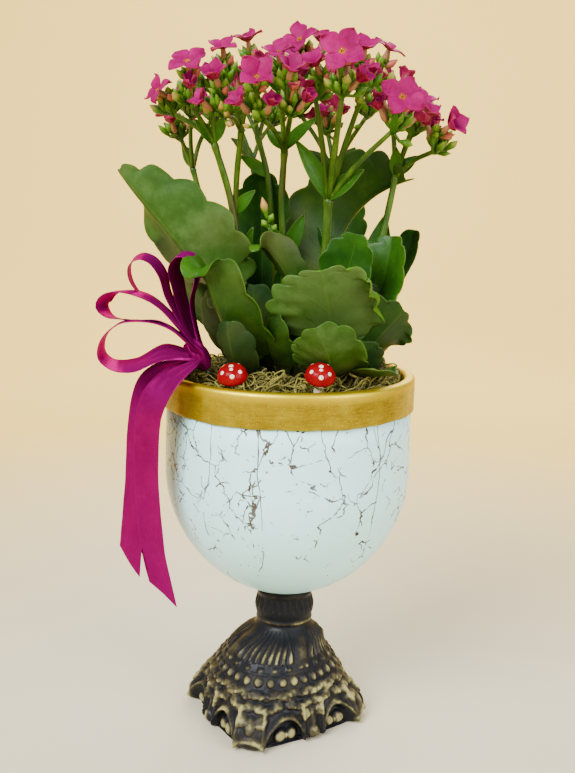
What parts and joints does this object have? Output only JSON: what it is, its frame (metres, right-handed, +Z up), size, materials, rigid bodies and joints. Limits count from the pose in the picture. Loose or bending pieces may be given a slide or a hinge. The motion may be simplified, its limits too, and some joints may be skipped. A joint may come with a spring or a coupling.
{
  "type": "potted kalanchoe",
  "caption": "Kalanchoe in pink flower, planted in a white crackled goblet pot with a gold rim on a scroll foot, with moss, toadstool picks and a satin ribbon bow.",
  "frame": {"origin": "centre of the foot's flat underside", "axes": "+Z up through the bowl, +X to the right as the plant is seen from its front, the front is -Y"},
  "size_m": [0.1852, 0.1517, 0.3865],
  "materials": {
    "stem_green": "smooth fleshy green stalks, reddish low down, with green and yellow-green buds",
    "leaf_green": "fleshy leaf, glossy deep green above and matt grey-green below, pale margin",
    "petal_pink": "soft petals, hot pink above and dusty pink below, yellow throat",
    "cap_red": "glossy red lacquer with white dots",
    "pick_cream": "matt cream paint",
    "satin_magenta": "satin ribbon, shiny magenta",
    "wire_green": "dull green coated wire",
    "soil_brown": "crumbly potting soil",
    "moss_tan": "dry curled moss, olive and tan",
    "white_glaze": "glossy white glaze with fine brown crackle, brushed gold paint on the lip",
    "dark_cast": "near-black brown casting with cream-gold rubbed on the raised parts"
  },
  "bodies": {
    "root": {"bloom_01": "petal_pink", "bloom_02": "petal_pink", "bloom_03": "petal_pink", "bloom_04": "petal_pink", "bloom_05": "petal_pink", "bloom_06": "petal_pink", "bloom_07": "petal_pink", "bloom_08": "petal_pink", "bloom_09": "petal_pink", "bloom_10": "petal_pink", "bloom_11": "petal_pink", "bloom_12": "petal_pink", "bloom_13": "petal_pink", "bloom_14": "petal_pink", "bloom_15": "petal_pink", "bloom_16": "petal_pink", "bloom_17": "petal_pink", "bloom_18": "petal_pink", "bloom_19": "petal_pink", "bloom_20": "petal_pink", "bloom_21": "petal_pink", "bow_wire": "wire_green", "goblet_bowl": "white_glaze", "leaf_back_left_tall": "leaf_green", "leaf_front_broad": "leaf_green", "leaf_front_left": "leaf_green", "leaf_front_left_small": "leaf_green", "leaf_front_low": "leaf_green", "leaf_front_middle_narrow": "leaf_green", "leaf_left_low": "leaf_green", "leaf_middle_back_tall": "leaf_green", "leaf_middle_curled": "leaf_green", "leaf_middle_upright": "leaf_green", "leaf_rear_left": "leaf_green", "leaf_rear_low": "leaf_green", "leaf_rear_middle": "leaf_green", "leaf_rear_right": "leaf_green", "leaf_rear_tall": "leaf_green", "leaf_right_back": "leaf_green", "leaf_right_low": "leaf_green", "leaf_right_lowest": "leaf_green", "leaf_right_tall": "leaf_green", "leaf_right_upright": "leaf_green", "moss_bed": "moss_tan", "pedestal_foot": "dark_cast", "potting_soil": "soil_brown", "ribbon_bow": "satin_magenta", "stalk_a": "stem_green", "stalk_b": "stem_green", "stalk_c": "stem_green", "stalk_d": "stem_green", "stalk_e": "stem_green", "stalk_f": "stem_green", "stalk_g": "stem_green", "stalk_h": "stem_green", "stalk_i": "stem_green", "toadstool_left_cap": "cap_red", "toadstool_left_pick": "pick_cream", "toadstool_right_cap": "cap_red", "toadstool_right_pick": "pick_cream"}
  },
  "joints": []
}
